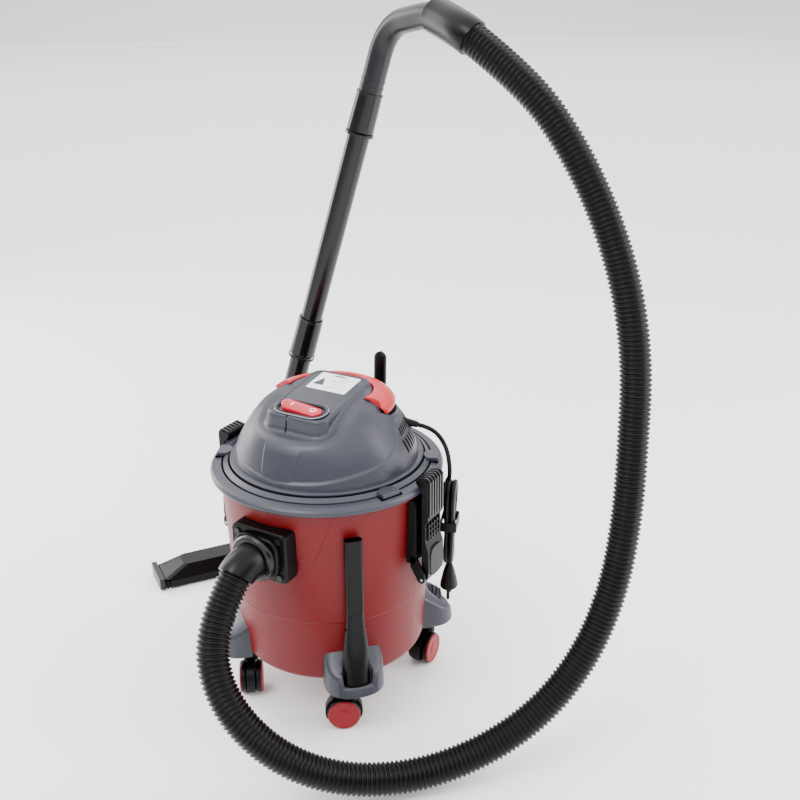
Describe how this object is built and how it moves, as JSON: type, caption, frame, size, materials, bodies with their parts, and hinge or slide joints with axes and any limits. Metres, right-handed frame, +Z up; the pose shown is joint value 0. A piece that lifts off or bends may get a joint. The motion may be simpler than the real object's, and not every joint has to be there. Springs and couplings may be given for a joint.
{
  "type": "shop vacuum",
  "caption": "Wet and dry drum vacuum on swivel casters, with a lift-off motor head, side clips, corrugated hose, two-piece wand, floor tool and crevice tool.",
  "frame": {"origin": "on the floor, on the axis of the tank", "axes": "+Z up along the tank axis; -Y towards the front, where the hose plugs in; +X to the right side clip"},
  "size_m": [0.8681, 0.6318, 0.9734],
  "materials": {
    "red_tank": "satin moulded polypropylene",
    "red_trim": "satin moulded ABS",
    "red_switch": "gloss ABS",
    "red_wheel": "moulded",
    "grey_plastic": "fine grained",
    "black_plastic": "satin",
    "hose_plastic": "satin corrugated",
    "cord_rubber": "satin",
    "rubber": "matte",
    "label": "gloss film",
    "steel": "zinc plated",
    "motor_iron": "laminated",
    "aluminium": "pressed",
    "filter_paper": "pleated",
    "bristle": "fibre"
  },
  "bodies": {
    "root": {"tank": "red_tank", "foot_front_right": "grey_plastic", "foot_front_left": "grey_plastic", "foot_rear_right": "grey_plastic", "foot_rear_left": "grey_plastic", "foot_screws": "steel", "inlet_port": "black_plastic", "inlet_gasket": "rubber", "inlet_deflector": "black_plastic", "inlet_screws": "steel", "latch_bracket_right": "black_plastic", "latch_bracket_left": "black_plastic", "latch_pin_right": "steel", "latch_pin_left": "steel", "hose": "hose_plastic", "hose_cuff_tank": "hose_plastic", "hose_cuff_handle": "hose_plastic", "wand_lower": "black_plastic", "wand_upper": "black_plastic", "handle_tube": "grey_plastic", "floor_tool_neck": "black_plastic"},
    "head": {"head_base": "grey_plastic", "tank_gasket": "rubber", "head_cover": "grey_plastic", "head_screws": "steel", "carry_handle": "red_trim", "switch_bezel": "black_plastic", "blank_label": "label", "cord_hook": "black_plastic", "strain_relief": "cord_rubber", "exhaust_port": "black_plastic", "motor_housing": "black_plastic", "stator": "motor_iron", "bearings": "steel", "filter_cage": "black_plastic", "cartridge_filter": "filter_paper", "filter_clamp": "black_plastic", "power_cord": "cord_rubber", "cord_hank": "cord_rubber", "cord_tie": "cord_rubber", "power_plug": "cord_rubber"},
    "latch_right": {"latch_right": "black_plastic"},
    "latch_left": {"latch_left": "black_plastic"},
    "rocker": {"rocker_switch": "red_switch"},
    "rotor": {"rotor": "motor_iron", "impeller": "aluminium"},
    "float": {"float": "black_plastic"},
    "crevice_tool": {"crevice_tool": "black_plastic"},
    "floor_tool": {"floor_tool_body": "black_plastic", "floor_tool_strip": "bristle"},
    "rollers": {"floor_tool_rollers": "black_plastic"},
    "caster_front_right": {"caster_front_right": "black_plastic"},
    "wheels_front_right": {"caster_wheels_front_right": "red_wheel"},
    "caster_front_left": {"caster_front_left": "black_plastic"},
    "wheels_front_left": {"caster_wheels_front_left": "red_wheel"},
    "caster_rear_right": {"caster_rear_right": "black_plastic"},
    "wheels_rear_right": {"caster_wheels_rear_right": "red_wheel"},
    "caster_rear_left": {"caster_rear_left": "black_plastic"},
    "wheels_rear_left": {"caster_wheels_rear_left": "red_wheel"}
  },
  "joints": [
    {"name": "head_lift", "type": "slide", "parent": "root", "child": "head", "axis": [0, 0, 1], "range_m": [0, 0.2]},
    {"name": "latch_right_open", "type": "hinge", "parent": "root", "child": "latch_right", "pos_m": [0.17, -0.0025, 0.228], "axis": [0, 1, 0], "range_deg": [0, 101]},
    {"name": "latch_left_open", "type": "hinge", "parent": "root", "child": "latch_left", "pos_m": [-0.17, -0.0025, 0.228], "axis": [0, -1, 0], "range_deg": [0, 101]},
    {"name": "rocker_switch_press", "type": "hinge", "parent": "head", "child": "rocker", "pos_m": [0, -0.05626, 0.45365], "axis": [0, -0.989, -0.1478], "range_deg": [0, 13]},
    {"name": "motor_spin", "type": "hinge", "parent": "head", "child": "rotor", "pos_m": [0, 0, 0.4], "axis": [0, 0, 1], "continuous": true},
    {"name": "float_rise", "type": "slide", "parent": "head", "child": "float", "axis": [0, 0, 1], "range_m": [0, 0.077]},
    {"name": "crevice_tool_pull", "type": "slide", "parent": "root", "child": "crevice_tool", "axis": [0, 0, 1], "range_m": [0, 0.02]},
    {"name": "floor_tool_tilt", "type": "hinge", "parent": "root", "child": "floor_tool", "pos_m": [-0.28393, 0.16623, 0.024], "axis": [0.5736, 0.8192, 0], "range_deg": [-25, 20]},
    {"name": "rollers_spin", "type": "hinge", "parent": "floor_tool", "child": "rollers", "pos_m": [-0.3108, 0.16795, 0.008], "axis": [0.5736, 0.8192, 0], "continuous": true},
    {"name": "caster_front_right_swivel", "type": "hinge", "parent": "root", "child": "caster_front_right", "pos_m": [0.09051, -0.09051, 0.064], "axis": [0, 0, 1], "continuous": true},
    {"name": "caster_front_right_roll", "type": "hinge", "parent": "caster_front_right", "child": "wheels_front_right", "pos_m": [0.07973, -0.09778, 0.024], "axis": [0.5592, -0.829, 0], "continuous": true},
    {"name": "caster_front_left_swivel", "type": "hinge", "parent": "root", "child": "caster_front_left", "pos_m": [-0.09051, -0.09051, 0.064], "axis": [0, 0, 1], "continuous": true},
    {"name": "caster_front_left_roll", "type": "hinge", "parent": "caster_front_left", "child": "wheels_front_left", "pos_m": [-0.08305, -0.10116, 0.024], "axis": [0.8192, 0.5736, 0], "continuous": true},
    {"name": "caster_rear_right_swivel", "type": "hinge", "parent": "root", "child": "caster_rear_right", "pos_m": [0.10607, 0.10607, 0.064], "axis": [0, 0, 1], "continuous": true},
    {"name": "caster_rear_right_roll", "type": "hinge", "parent": "caster_rear_right", "child": "wheels_rear_right", "pos_m": [0.10652, 0.09307, 0.024], "axis": [0.9994, 0.0349, 0], "continuous": true},
    {"name": "caster_rear_left_swivel", "type": "hinge", "parent": "root", "child": "caster_rear_left", "pos_m": [-0.10607, 0.10607, 0.064], "axis": [0, 0, 1], "continuous": true},
    {"name": "caster_rear_left_roll", "type": "hinge", "parent": "caster_rear_left", "child": "wheels_rear_left", "pos_m": [-0.10162, 0.11828, 0.024], "axis": [-0.9397, 0.342, 0], "continuous": true}
  ],
  "couplings": [
    {"joint": "latch_right_open", "follows": "head_lift", "rad_per_m": 8.73},
    {"joint": "latch_left_open", "follows": "head_lift", "rad_per_m": 8.73}
  ]
}
